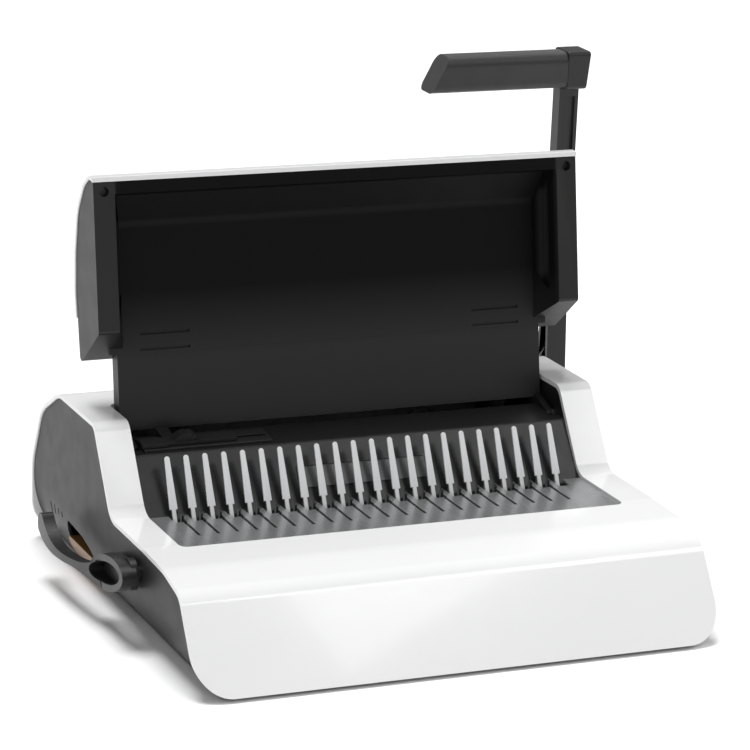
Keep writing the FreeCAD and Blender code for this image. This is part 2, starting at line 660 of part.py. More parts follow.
# ---- lid -------------------------------------------------------------------------------------
# The lid is drawn upright, then leant back by LID_LEAN about its axis.
LID_HALF = 189.0
LID_RIM = 16.0                # width of the two side rims
LID_FRONT = 229.3
LID_TOP = 301.1
LID_OUTER = [                 # side view
    (LID_FRONT, LID_TOP, 1.5),
    (237.3, 302.3, 6),
    (249.3, 296.6, 18),
    (266.3, 278.0, 36),
    (275.4, 248.0, 50),
    (279.5, 218.3, 50),
    (276.2, 166.6, 4),
    (LID_FRONT, 192.4, 3),
]
WELL_BACK = 254.6
WELL_DRAFT = 10.0             # the well's sides slant in by this much towards its back
LID_WELL = [                  # side view of the hollow in front
    (200.0, 140.0, 0),
    (200.0, LID_TOP - 9.5, 0),
    (241.0, LID_TOP - 9.5, 5),
    (WELL_BACK, 268.0, 14),
    (WELL_BACK, 140.0, 0),
]
NECK_HALF = 167.5
NECK_Y0, NECK_Y1 = 255.4, 267.4
NECK_Z0, NECK_STEP, NECK_Z1 = 118.0, 174.0, 190.0
LID_ARM_X = 162.5             # hinge arms of the lid, inner face
LID_SCREW_X = 181.0
LID_SCREW_Z = LID_TOP - 7.4
LID_COVER_Z0 = 200.0          # lower edge of the white cover


def lid_lean(shape):
    """Leans a lid piece, drawn upright, back to its place at rest."""
    return turned_round_x(shape, LID_Y, LID_Z, -LID_LEAN)


def lid_slab(inset, x0, x1):
    wire = rounded_wire(LID_OUTER)
    if inset:
        wire = wire.makeOffset2D(-inset)
    return slab(wire, x0, x1)


def make_lid_liner():
    """Black inner tray: two deep side rims, a top rim, a back wall and the neck with its arms."""
    body = lid_slab(0, -LID_HALF, LID_HALF)
    inner_half = LID_HALF - LID_RIM
    back_half = inner_half - WELL_DRAFT
    outline = [V(-inner_half, 200, 100), V(-inner_half, LID_FRONT + 1, 100), V(-back_half, WELL_BACK, 100),
               V(-back_half, WELL_BACK + 1, 100), V(back_half, WELL_BACK + 1, 100), V(back_half, WELL_BACK, 100),
               V(inner_half, LID_FRONT + 1, 100), V(inner_half, 200, 100), V(-inner_half, 200, 100)]
    drafted = Part.Face(Part.makePolygon(outline)).extrude(V(0, 0, 220))
    body = body.cut(profile(LID_WELL, -inner_half, inner_half).common(drafted))
    # hollow side rims, open at the back under the white cover
    pocket = lid_slab(WALL, inner_half + WALL, LID_HALF - WALL)
    pocket_back = pocket.copy()
    pocket_back.translate(V(0, WALL + 1, 0))
    body = body.cut(both_sides(pocket.fuse(pocket_back)))
    # long scoops down the inner sides, deepest at half height
    scoop = Part.makeCylinder(8, 150, V(inner_half - 7.5, WELL_BACK - 9, 168))
    bulge = Part.makeSphere(100, V(inner_half + 87, WELL_BACK - 9, 243))
    reach = box(0, inner_half + 0.8, 200, WELL_BACK, 100, 320)
    body = body.cut(both_sides(scoop.common(bulge).common(reach)))
    # the back wall is thin behind the well
    body = body.cut(box(-inner_half + 4, inner_half - 4, WELL_BACK + WALL, 320, NECK_Z1 - 4, 262))
    # the neck carries the lid down to its hinge
    neck = box(-NECK_HALF, NECK_HALF, NECK_Y0, NECK_Y1, NECK_Z0, NECK_Z1)
    upper = box(-inner_half, inner_half, WELL_BACK, NECK_Y0 + 3, NECK_STEP, NECK_Z1)
    arm = profile([(232.5, 98.5, 6), (232.5, 109.0, 3), (NECK_Y0, 121.0, 0), (NECK_Y1, 121.0, 0),
                   (262.0, 110.0, 8), (248.0, 98.5, 6)], LID_ARM_X, NECK_HALF)
    body = body.fuse([neck, upper] + both_sides(arm))
    # the neck is hollow, open at the bottom
    body = body.cut(box(-NECK_HALF + 6, NECK_HALF - 6, NECK_Y0 + 2.8, NECK_Y1 - 2.5,
                        NECK_Z0 - 1, NECK_STEP - 2))
    body = body.cut(both_sides(rod(PIN_R, 140, 200, LID_Y, LID_Z)))
    # two thin grooves across each lower corner of the well
    for z in (175.6, 187.0):
        groove = box(112, 150, WELL_BACK - 1, WELL_BACK + 1.4, z, z + 2.0)
        body = body.cut(both_sides(groove))
    for side in (-1, 1):
        boss = peg(4.8, side * LID_SCREW_X, LID_SCREW_Z, LID_FRONT + 0.1, 242)
        body = body.fuse(boss.common(lid_slab(0, -LID_HALF, LID_HALF)))
        body = body.cut(peg(3.6, side * LID_SCREW_X, LID_SCREW_Z, 220, 237))
        body = body.cut(peg(1.5, side * LID_SCREW_X, LID_SCREW_Z, 236, 241))
    return lid_lean(body)


def make_lid_cover():
    """White outer cover of the lid, a bent sheet that laps over the liner's top edge."""
    outer = rounded_wire(LID_OUTER).makeOffset2D(3.2)
    inner = rounded_wire(LID_OUTER).makeOffset2D(0.25)
    sheet = slab(outer, -LID_HALF - 0.8, LID_HALF + 0.8).cut(slab(inner, -300, 300))
    sheet = sheet.cut(box(-300, 300, 200, LID_FRONT - 0.5, 100, 400))
    sheet = sheet.cut(box(-300, 300, 200, 236, 100, LID_TOP - 0.4))
    return lid_lean(sheet.cut(box(-300, 300, 200, 400, 90, LID_COVER_Z0)))


def make_lid_screws():
    screws = []
    for side in (-1, 1):
        x = side * LID_SCREW_X
        head = peg(3.3, x, LID_SCREW_Z, 235.0, 237.0)
        head = head.cut(box(x - 2.3, x + 2.3, 234, 235.7, LID_SCREW_Z - 0.4, LID_SCREW_Z + 0.4))
        screws.append(lid_lean(head.fuse(peg(1.5, x, LID_SCREW_Z, 237.0, 240.5))))
    return screws


def make_hinge_pins():
    return both_sides(rod(PIN_R, LID_ARM_X + 1, THROAT_HALF + 6, LID_Y, LID_Z))


def make_lid_bumpers():
    """Two rubber stops on the neck, which rest on the rear edge of the throat."""
    bumper = lid_lean(box(40, 60, NECK_Y1, NECK_Y1 + 12, CHEEK_Z - 9, CHEEK_Z + 3))
    return both_sides(bumper.cut(box(0, 100, THROAT_REAR - 0.3, 320, 100, 160)))


# ---- comb lever ------------------------------------------------------------------------------
COMB_OUTER_X = -210.0
COMB_HUB_X1 = -196.8
BLADE_THICK = 9.0
COMB_HUB_TILT = 11.8          # degrees, the oval hub rises towards the front


def comb_hub_oval(half_length, half_height, x0, x1):
    """An ellipse in side view, centred behind the axis and tilted along the lever."""
    centre = V(x0, COMB_Y + 22.5, COMB_Z - 5.3)
    tilt = math.radians(COMB_HUB_TILT)
    along = V(0, math.cos(tilt), -math.sin(tilt))
    across = V(0, math.sin(tilt), math.cos(tilt))
    ellipse = Part.Ellipse(centre + along * half_length, centre + across * half_height, centre)
    return Part.Face(Part.Wire(ellipse.toShape())).extrude(V(x1 - x0, 0, 0))


def smooth_edge(points):
    """A smooth curve through (y, z) points of a side view."""
    curve = Part.BSplineCurve()
    curve.interpolate([V(0, y, z) for y, z in points])
    return curve.toShape()


def make_comb_blade():
    """The blade sweeps back along the side and bends outwards, to pass clear of the chip tray."""
    upper = smooth_edge([(176, 48), (184, 44), (225, 35.8), (252, 35.8), (281, 49.8)])
    tip = Part.Arc(V(0, 281, 49.8), V(0, 290.5, 47), V(0, 291, 36)).toShape()
    lower = smooth_edge([(291, 36), (252, 28.4), (205, 31.6), (186, 31.0), (166, 30)])
    close = Part.makeLine(V(0, 166, 30), V(0, 176, 48))
    side = slab(Part.Wire([upper, tip, lower, close]), BLADE_OUTER_X - 5, COMB_HUB_X1)
    outer = Part.Arc(V(COMB_OUTER_X + 1, 160, 0), V(BLADE_OUTER_X + 1.6, 212, 0), V(BLADE_OUTER_X, 300, 0))
    inner = outer.toShape().copy()
    inner.translate(V(BLADE_THICK, 0, 0))
    tip_end = Part.makeLine(V(BLADE_OUTER_X, 300, 0), V(BLADE_OUTER_X + BLADE_THICK, 300, 0))
    hub_end = Part.makeLine(V(COMB_OUTER_X + 1, 160, 0), V(COMB_OUTER_X + 1 + BLADE_THICK, 160, 0))
    outline = Part.sortEdges([outer.toShape(), tip_end, inner, hub_end])[0]
    plan = Part.Face(Part.Wire(outline)).extrude(V(0, 0, 100))
    return side.common(plan)


def make_comb_lever():
    """Oval hollow hub with a long curved blade."""
    hub = comb_hub_oval(37, 13, COMB_OUTER_X, COMB_HUB_X1 - 2)
    hollow = comb_hub_oval(29.5, 8.0, COMB_OUTER_X - 10, COMB_OUTER_X + 8)
    boss = rod(11.4, COMB_OUTER_X + 8, COMB_HUB_X1, COMB_Y, COMB_Z)
    lever = hub.fuse(make_comb_blade()).cut(hollow)
    lever = lever.fuse(boss)
    return lever.cut(rod(5.0, COMB_OUTER_X + 10, -150, COMB_Y, COMB_Z))


def make_comb_shaft():
    return rod(5.0, COMB_OUTER_X + 10, 153.0, COMB_Y, COMB_Z)


def make_pinion(x):
    """Twelve-tooth pinion, with narrow teeth for easy running in the rack."""
    pitch_r = GEAR_MODULE * GEAR_TEETH / 2
    root_r = pitch_r - 1.9
    tip_r = pitch_r + 1.4
    gear = rod(root_r, x - 4, x + 4, 0, 0)
    for tooth in range(GEAR_TEETH):
        points = [V(x - 4, root_r - 1, -1.6), V(x - 4, tip_r, -0.7), V(x - 4, tip_r, 0.7),
                  V(x - 4, root_r - 1, 1.6)]
        points.append(points[0])
        wedge = Part.Face(Part.makePolygon(points)).extrude(V(8, 0, 0))
        wedge.rotate(V(0, 0, 0), X_AXIS, (tooth + 0.5) * 360 / GEAR_TEETH)
        gear = gear.fuse(wedge)
    gear.translate(V(0, COMB_Y, COMB_Z))
    return gear.cut(rod(5.0, x - 10, x + 10, COMB_Y, COMB_Z))


def make_comb_brackets():
    """Two posts on the base that carry the comb shaft."""
    y0, y1, top = COMB_Y - 14, COMB_Y + 14, COMB_Z + 11
    bracket = box(138, 142, y0, y1, BASE_TOP, top)
    bracket = bracket.makeFillet(8, [e for e in bracket.Edges if is_top_x_edge(e, top)])
    foot = box(142, 152, y0, y1, BASE_TOP, BASE_TOP + 2.5)
    bracket = bracket.fuse(foot)
    bracket = bracket.cut(rod(5.0 + FIT, 100, 200, COMB_Y, COMB_Z))
    return both_sides(bracket)


RACK_X = 120.0
RACK_LINE = COMB_Z + GEAR_MODULE * GEAR_TEETH / 2
PLATE_Z0, PLATE_Z1 = RACK_LINE + 1.9, RACK_LINE + 4.0
RACK_TEETH = 7


def make_opener_plate():
    """Sliding plate under the deck, with a rack near each end."""
    plate = box(-157, 157, 164, 180.2, PLATE_Z0, PLATE_Z1)
    tooth_pitch = math.pi * GEAR_MODULE
    for side in (-1, 1):
        x = side * RACK_X
        bar = box(x - 3.5, x + 3.5, COMB_Y - 12, 165, PLATE_Z0, PLATE_Z1)
        plate = plate.fuse(bar)
        for tooth in range(RACK_TEETH):
            y = COMB_Y + (tooth - 1.0) * tooth_pitch
            points = [V(x - 3.5, y - 1.6, RACK_LINE + 2.2), V(x - 3.5, y - 0.7, RACK_LINE - 1.3),
                      V(x - 3.5, y + 0.7, RACK_LINE - 1.3), V(x - 3.5, y + 1.6, RACK_LINE + 2.2)]
            points.append(points[0])
            plate = plate.fuse(Part.Face(Part.makePolygon(points)).extrude(V(7, 0, 0)))
    return plate


def make_opener_hooks():
    """One hook for each ring, standing through the deck and pointing forward."""
    hooks = []
    for index in range(LOOPS):
        x = finger_x(index) + HOOK_OFFSET
        outline = [V(x - 0.8, 180, PLATE_Z1), V(x - 0.8, 180, 75.0), V(x - 0.8, 178.5, 76.2),
                   V(x - 0.8, 173.0, 75.4), V(x - 0.8, 176.2, 73.8), V(x - 0.8, 176.2, PLATE_Z1)]
        outline.append(outline[0])
        hooks.append(Part.Face(Part.makePolygon(outline)).extrude(V(1.6, 0, 0)))
    return hooks


def make_opener_rails():
    rail = box(151, 158.4, 134, 167.6, PLATE_Z0 - 3.0, PLATE_Z0 - 0.3)
    leg = box(154.5, 158.4, 150, 156, BASE_TOP, PLATE_Z0 - 3.0)
    return both_sides(rail.fuse(leg))


# ---- chip tray -------------------------------------------------------------------------------
TRAY_X0, TRAY_X1 = -181.0, 150.0
TRAY_WALL = 1.8


def make_chip_tray():
    tray = box(TRAY_X0, TRAY_X1, TRAY_Y0, TRAY_Y1, BASE_TOP + 0.8, TRAY_TOP)
    inside = box(TRAY_X0 + TRAY_WALL, TRAY_X1 - TRAY_WALL, TRAY_Y0 + TRAY_WALL, TRAY_Y1 - TRAY_WALL,
                 BASE_TOP + 0.8 + TRAY_WALL, TRAY_TOP + 5)
    inside = inside.makeFillet(3, [e for e in inside.Edges if abs(e.Vertexes[0].Z - e.Vertexes[-1].Z) > 1])
    tray = tray.cut(inside)
    # the front bulges out beyond the side panel, to be pulled by
    outline = [V(TRAY_X0 + 1, 0, BASE_TOP + 0.8), V(TRAY_X0 - 4, 0, 10), V(TRAY_X0 - 8, 0, 16.5),
               V(TRAY_X0 - 10.5, 0, 22), V(TRAY_X0 - 10, 0, TRAY_TOP), V(TRAY_X0 + 1, 0, TRAY_TOP)]
    outline.append(outline[0])
    front = Part.Face(Part.makePolygon(outline)).extrude(V(0, TRAY_Y1 - TRAY_Y0 + 2.4, 0))
    front.translate(V(0, TRAY_Y0 - 1.7, 0))
    return tray.fuse(front)


# ---- build -----------------------------------------------------------------------------------
def main():
    os.makedirs("parts", exist_ok=True)
    left_panel, right_panel = make_side_panels()
    frame_plate = make_frame_plate()
    bush = make_bush()
    write("top_cover", make_top_cover())
    write("rear_cover", make_rear_cover())
    write("left_side_panel", left_panel)
    write("right_side_panel", right_panel)
    write("base_pan", make_base_pan())
    write("rubber_feet", make_feet())
    write("base_screws", make_base_screws())
    write("throat_housing", make_throat_housing())
    write("wall_inset_plate", make_inset_plate())
    write("deck_plate", make_deck_plate())
    write("comb_fingers", make_comb_fingers())
    write("finger_rail", make_finger_rail())
    write("guide_rail", make_guide_rail())
    write("guide_slider", make_guide_slider())
    write("guide_knob", make_guide_knob())
    write("die_plate", punched_bar(SLOT_FRONT - 6, SLOT_FRONT))
    write("punch_guide_plate", punched_bar(SLOT_REAR, SLOT_REAR + 6))
    write("die_spacers", make_die_spacers())
    write("punch_frame_right", frame_plate)
    write("punch_frame_left", both_sides(frame_plate)[1])
    write("shaft_bush_right", bush)
    write("shaft_bush_left", both_sides(bush)[1])
    write("lever_return_spring", make_return_spring())
    write("punch_bar", make_punch_bar())
    write("punch_pins", make_punch_pins())
    write("cam_followers", make_cam_followers())
    write("punch_shaft", make_punch_shaft())
    write("punch_cam_left", make_cam(-CAM_X))
    write("punch_cam_right", make_cam(CAM_X))
    write("shaft_snap_rings", make_shaft_rings())
    write("lever_arm", make_lever_arm())
    write("lever_hub_cap", make_hub_cap())
    write("lever_grip_collar", make_grip_collar())
    write("lever_grip", make_lever_grip())
    write("lid_liner", make_lid_liner())
    write("lid_cover", make_lid_cover())
    write("lid_screws", make_lid_screws())
    write("lid_hinge_pins", make_hinge_pins())
    write("lid_bumpers", make_lid_bumpers())
    write("comb_lever", make_comb_lever())
    write("comb_shaft", make_comb_shaft())
    write("comb_pinion_left", make_pinion(-RACK_X))
    write("comb_pinion_right", make_pinion(RACK_X))
    write("comb_shaft_brackets", make_comb_brackets())
    write("opener_plate", make_opener_plate())
    write("opener_hooks", make_opener_hooks())
    write("opener_rails", make_opener_rails())
    write("chip_tray", make_chip_tray())


main()
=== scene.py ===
import json
import math

import bmesh
import bpy
from mathutils import Matrix, Vector


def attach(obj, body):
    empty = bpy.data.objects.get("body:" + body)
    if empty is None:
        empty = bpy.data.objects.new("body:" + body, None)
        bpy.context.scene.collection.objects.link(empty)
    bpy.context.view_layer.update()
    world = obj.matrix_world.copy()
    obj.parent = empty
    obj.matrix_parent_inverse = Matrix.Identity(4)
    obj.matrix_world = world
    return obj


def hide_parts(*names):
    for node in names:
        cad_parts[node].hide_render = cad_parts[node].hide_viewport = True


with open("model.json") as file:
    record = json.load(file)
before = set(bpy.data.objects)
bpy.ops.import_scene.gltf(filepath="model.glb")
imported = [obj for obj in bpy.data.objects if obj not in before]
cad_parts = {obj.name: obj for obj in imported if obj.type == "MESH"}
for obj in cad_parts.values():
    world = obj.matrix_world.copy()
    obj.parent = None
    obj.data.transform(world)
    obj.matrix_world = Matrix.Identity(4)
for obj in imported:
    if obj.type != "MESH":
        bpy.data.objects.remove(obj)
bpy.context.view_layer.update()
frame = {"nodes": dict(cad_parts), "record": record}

# Looks of the comb binding machine.  Metres, row frame: X right, Y back, Z up.
MM = 0.001
MIDDLE_X = -5.5 * MM           # the covers' middle plane, a little left of the overall middle
NODES = frame["nodes"]
BODIES = frame["record"]["behaviour"]["bodies"]
BODY_OF = {node: body for body, nodes in BODIES.items() for node in nodes}
SLOT_OF = {row["node"]: row["material_slot"] for row in frame["record"]["subparts"]}

# Painted shade in the lid liner's well: it fades out across its rims, and upwards from the neck.
WELL_HALF_WIDTH = 171.5 * MM
RIM_HALF_WIDTH = 173.5 * MM
WELL_SHADE_FADE_LOW = 165 * MM
WELL_SHADE_FADE_HIGH = 215 * MM

# Clean-up and rounding of the moulded copies.
WELD_DISTANCE = 0.004 * MM
FLAT_ANGLE = math.radians(0.6)
BEVEL_ANGLE = math.radians(32.0)
BEVEL_SEGMENTS = 3

# The camera: a long lens, low from the front left, with a slight roll.
CAMERA_PLACE = (-0.9070, -2.1511, 0.8001)
CAMERA_AZIMUTH = math.radians(-22.819)
CAMERA_ELEVATION = math.radians(15.293)
CAMERA_ROLL = math.radians(1.758)
CAMERA_LENS = 161.04           # mm, on a sensor SENSOR_WIDTH wide
SENSOR_WIDTH = 36.0
CAMERA_REACH = 30.0

FLOOR_HALF = 6.0
WORLD_STRENGTH = 0.26
LIGHT_AIM = (0, 0, 0.1)        # the middle of the machine


# ---- node helpers ----------------------------------------------------------------------------
# The Mix node's colour sockets share their names with its other sockets, so they go by number.
MIX_COLOUR_A = 6
MIX_COLOUR_B = 7
MIX_COLOUR_RESULT = 2


class Finish:
    """A Principled material with helpers for the procedural detail in it."""

    def __init__(self, name):
        self.material = bpy.data.materials.new(name)
        self.material.use_nodes = True
        self.tree = self.material.node_tree
        self.shader = self.tree.nodes["Principled BSDF"]
        self.coords = self.tree.nodes.new("ShaderNodeTexCoord").outputs["Object"]

    def node(self, kind, **settings):
        made = self.tree.nodes.new(kind)
        for key, value in settings.items():
            setattr(made, key, value)
        return made

    def feed(self, value, target):
        """Links an output to an input, or sets the input to a plain value."""
        if isinstance(value, bpy.types.NodeSocket):
            self.tree.links.new(value, target)
        else:
            target.default_value = value

    def set(self, **values):
        """Feeds the shader's inputs, each named with _ for a space."""
        for name, value in values.items():
            self.feed(value, self.shader.inputs[name.replace("_", " ")])

    def calculated(self, operation, *values):
        """One sum over outputs or plain numbers."""
        result = self.node("ShaderNodeMath", operation=operation)
        for value, target in zip(values, result.inputs):
            self.feed(value, target)
        return result.outputs["Value"]

    def stretched(self, scale):
        mapping = self.node("ShaderNodeMapping")
        mapping.inputs["Scale"].default_value = scale
        self.feed(self.coords, mapping.inputs["Vector"])
        return mapping.outputs["Vector"]

    def noise(self, scale, detail=3.0, stretch=None, roughness=0.5):
        noise = self.node("ShaderNodeTexNoise")
        noise.inputs["Scale"].default_value = scale
        noise.inputs["Detail"].default_value = detail
        noise.inputs["Roughness"].default_value = roughness
        self.feed(self.stretched(stretch) if stretch else self.coords, noise.inputs["Vector"])
        return noise.outputs["Fac"]

    def mapped(self, source, low, high, start=0.0, end=1.0):
        scale = self.node("ShaderNodeMapRange")
        scale.inputs["From Min"].default_value = start
        scale.inputs["From Max"].default_value = end
        scale.inputs["To Min"].default_value = low
        scale.inputs["To Max"].default_value = high
        self.feed(source, scale.inputs["Value"])
        return scale.outputs["Result"]

    def blend_colours(self, factor, first, second):
        mix = self.node("ShaderNodeMix", data_type="RGBA")
        self.feed(factor, mix.inputs["Factor"])
        self.feed(first, mix.inputs[MIX_COLOUR_A])
        self.feed(second, mix.inputs[MIX_COLOUR_B])
        return mix.outputs[MIX_COLOUR_RESULT]

    def edge_wear(self, low=0.53, high=0.62):
        """1 along convex edges, 0 elsewhere."""
        pointiness = self.node("ShaderNodeNewGeometry").outputs["Pointiness"]
        return self.mapped(pointiness, 0.0, 1.0, low, high)

    def bumped(self, layers):
        """Adds bumps to the shader from (height, strength, distance in metres) layers."""
        below = None
        for height, strength, distance in layers:
            bump = self.node("ShaderNodeBump")
            bump.inputs["Strength"].default_value = strength
            bump.inputs["Distance"].default_value = distance
            self.feed(height, bump.inputs["Height"])
            if below is not None:
                self.feed(below, bump.inputs["Normal"])
            below = bump.outputs["Normal"]
        self.set(Normal=below)


def grey(value, warm=0.0):
    """A grey; warm raises its red and lowers its blue by that share."""
    return (value * (1 + warm), value, value * (1 - warm), 1.0)


# ---- finishes --------------------------------------------------------------------------------
def gloss_white():
    """High-gloss moulded ABS: faint flow waviness, fine scratches and a slightly duller edge."""
    finish = Finish("gloss_white")
    drift = finish.noise(9.0, 2.0)
    tint = finish.blend_colours(drift, (0.79, 0.79, 0.795, 1), (0.82, 0.82, 0.825, 1))
    worn = finish.edge_wear(0.56, 0.70)
    scuff = finish.noise(420.0, 2.0, stretch=(0.15, 1.0, 1.0))
    waves = finish.noise(14.0, 1.0)
    grain = finish.noise(900.0, 1.0)
    finish.set(Base_Color=finish.blend_colours(worn, tint, (0.74, 0.74, 0.74, 1)),
               Roughness=finish.mapped(scuff, 0.10, 0.20, 0.35, 0.75),
               IOR=1.5, Coat_Weight=0.35, Coat_Roughness=0.04)
    finish.bumped([(waves, 0.05, 0.0006), (grain, 0.02, 0.00004)])
    return finish


def textured_black(name, level, warm, rough, grain=1800.0, depth=0.3, specular=0.5):
    """Spark-eroded charcoal plastic: fine grain, uneven sheen, paler rubbed edges."""
    finish = Finish(name)
    patches = finish.noise(11.0, 3.0)
    body = finish.blend_colours(patches, grey(level * 0.94, warm), grey(level * 1.07, warm))
    sheen = finish.noise(60.0, 4.0)
    finish.set(Base_Color=finish.blend_colours(finish.edge_wear(), body, grey(level * 2.1, warm)),
               Roughness=finish.mapped(sheen, rough - 0.02, rough + 0.04, 0.3, 0.7),
               IOR=1.5, Specular_IOR_Level=specular)
    finish.bumped([(finish.noise(grain, 2.0), depth, 0.00012)])
    return finish


def lid_liner_black():
    """The lid's charcoal rims, with a smoother well between them painted darker as painted shade.
    """
    rim_specular = 0.34
    well_shade_specular = 0.12
    finish = textured_black("liner_black", 0.013, 0.02, 0.42, grain=1500.0, specular=rim_specular)
    rim_colour = finish.shader.inputs["Base Color"].links[0].from_socket
    place = finish.node("ShaderNodeSeparateXYZ")
    finish.feed(finish.coords, place.inputs["Vector"])
    from_middle = finish.calculated("SUBTRACT", place.outputs["X"], MIDDLE_X)
    across = finish.calculated("ABSOLUTE", from_middle)
    between_rims = finish.mapped(across, 1.0, 0.0, WELL_HALF_WIDTH, RIM_HALF_WIDTH)
    above_neck = finish.mapped(place.outputs["Z"], 0.0, 1.0, WELL_SHADE_FADE_LOW, WELL_SHADE_FADE_HIGH)
    painted_well_shade = finish.calculated("MULTIPLY", between_rims, above_neck)
    # Painted shade: the well is blended to near black and its specular lowered, for the shade deep
    # in the lid.
    finish.set(Base_Color=finish.blend_colours(painted_well_shade, rim_colour, grey(0.002)),
               Specular_IOR_Level=finish.mapped(painted_well_shade, rim_specular, well_shade_specular))
    return finish


def soft_grip():
    """Matt grip: pebbled skin with a faint bloom along its edges."""
    finish = Finish("soft_grip")
    cells = finish.node("ShaderNodeTexVoronoi")
    cells.inputs["Scale"].default_value = 1300.0
    finish.feed(finish.coords, cells.inputs["Vector"])
    body = finish.blend_colours(finish.noise(15.0, 3.0), grey(0.014, 0.02), grey(0.020, 0.02))
    rubbed = finish.noise(80.0, 4.0)
    finish.set(Base_Color=finish.blend_colours(finish.edge_wear(), body, grey(0.04, 0.02)),
               Roughness=finish.mapped(rubbed, 0.42, 0.56, 0.3, 0.7),
               IOR=1.5, Sheen_Weight=0.12, Sheen_Roughness=0.5)
    finish.bumped([(cells.outputs["Distance"], 0.22, 0.0001)])
    return finish


def enamelled_steel():
    """Light grey enamel over drawn steel: fine grain along each finger, chipped paler edges."""
    finish = Finish("enamelled_steel")
    grain = finish.noise(700.0, 3.0, stretch=(1.0, 0.06, 0.06))
    body = finish.blend_colours(grain, (0.72, 0.73, 0.74, 1), (0.84, 0.85, 0.86, 1))
    finish.set(Base_Color=finish.blend_colours(finish.edge_wear(), body, (0.90, 0.90, 0.91, 1)),
               Roughness=finish.mapped(grain, 0.30, 0.46), Metallic=0.05, IOR=1.5)
    finish.bumped([(grain, 0.10, 0.00008)])
    return finish


def smoke_deck():
    """Glossy smoke-grey plastic, polished, with streaks left by paper."""
    finish = Finish("smoke_deck")
    streaks = finish.noise(60.0, 4.0, stretch=(1.0, 0.10, 1.0))
    smoke = finish.blend_colours(streaks, (0.24, 0.242, 0.246, 1), (0.32, 0.323, 0.328, 1))
    finish.set(Base_Color=smoke, Roughness=finish.mapped(streaks, 0.20, 0.34, 0.3, 0.7),
               IOR=1.55, Metallic=0.55, Coat_Weight=0.25, Coat_Roughness=0.12)
    finish.bumped([(finish.noise(25.0, 1.0), 0.06, 0.0005)])
    return finish


def metal(name, low, high, rough, stretch):
    """Bare or plated steel with directional grinding marks and faint stains."""
    finish = Finish(name)
    grain = finish.noise(900.0, 4.0, stretch=stretch)
    stain = finish.mapped(finish.noise(30.0, 4.0), 0.0, 0.35, 0.5, 0.8)
    base = finish.blend_colours(grain, low, high)
    finish.set(Base_Color=finish.blend_colours(stain, base, low),
               Roughness=finish.mapped(grain, rough, rough + 0.16), Metallic=1.0)
    finish.bumped([(grain, 0.08, 0.00005)])
    return finish


def tan_plastic():
    """Glossy tan plastic of the chip tray, slightly cloudy."""
    finish = Finish("tan_plastic")
    clouds = finish.noise(22.0, 4.0)
    tan = finish.blend_colours(clouds, (0.20, 0.095, 0.030, 1), (0.30, 0.15, 0.05, 1))
    finish.set(Base_Color=tan, Roughness=finish.mapped(clouds, 0.22, 0.36), IOR=1.5)
    finish.bumped([(finish.noise(1400.0, 2.0), 0.12, 0.00006)])
    return finish


def rubber():
    """Dull speckled rubber of the feet."""
    finish = Finish("rubber")
    specks = finish.noise(600.0, 4.0)
    finish.set(Base_Color=finish.blend_colours(specks, grey(0.018), grey(0.034)),
               Roughness=finish.mapped(specks, 0.70, 0.88))
    finish.bumped([(specks, 0.25, 0.0001)])
    return finish


STEEL_COLOURS = (0.42, 0.42, 0.43, 1), (0.60, 0.60, 0.61, 1)
# Painted shade: the zinc-plated steel is painted near black, for the shade deep in the lid's screw
# holes.
ZINC_COLOURS_DARKENED_AS_HOLE_SHADE = (0.06, 0.06, 0.06, 1), (0.11, 0.11, 0.105, 1)
BRONZE_COLOURS = (0.42, 0.27, 0.12, 1), (0.60, 0.41, 0.19, 1)

FINISHES = {
    "cover_white": gloss_white(),
    "panel_black": textured_black("panel_black", 0.012, 0.03, 0.42, specular=0.3),
    "liner_black": lid_liner_black(),
    "throat_black": textured_black("throat_black", 0.008, 0.0, 0.36, grain=1700.0, depth=0.2),
    "inset_grey": textured_black("inset_grey", 0.030, 0.0, 0.30, grain=1900.0, depth=0.2),
    "lever_black": textured_black("lever_black", 0.014, 0.0, 0.36, grain=1600.0, specular=0.4),
    "guide_black": textured_black("guide_black", 0.014, 0.0, 0.30, grain=1900.0, depth=0.2),
    "base_black": textured_black("base_black", 0.018, 0.0, 0.55, grain=1200.0),
    "grip_black": soft_grip(),
    "deck_grey": smoke_deck(),
    "finger_white": enamelled_steel(),
    "steel": metal("steel", *STEEL_COLOURS, rough=0.22, stretch=(0.05, 1.0, 1.0)),
    "zinc_steel": metal("zinc_steel", *ZINC_COLOURS_DARKENED_AS_HOLE_SHADE, rough=0.38, stretch=(1.0, 1.0, 0.3)),
    "bronze": metal("bronze", *BRONZE_COLOURS, rough=0.35, stretch=(0.2, 1.0, 1.0)),
    "rubber": rubber(),
    "tray_tan": tan_plastic(),
}


# ---- objects ---------------------------------------------------------------------------------
def placed(name, data):
    """A new object in the scene that holds data."""
    obj = bpy.data.objects.new(name, data)
    bpy.context.scene.collection.objects.link(obj)
    return obj


def dress(obj, slot):
    """Gives an object the finish of its material slot, and no other."""
    obj.data.materials.clear()
    obj.data.materials.append(FINISHES[slot].material)


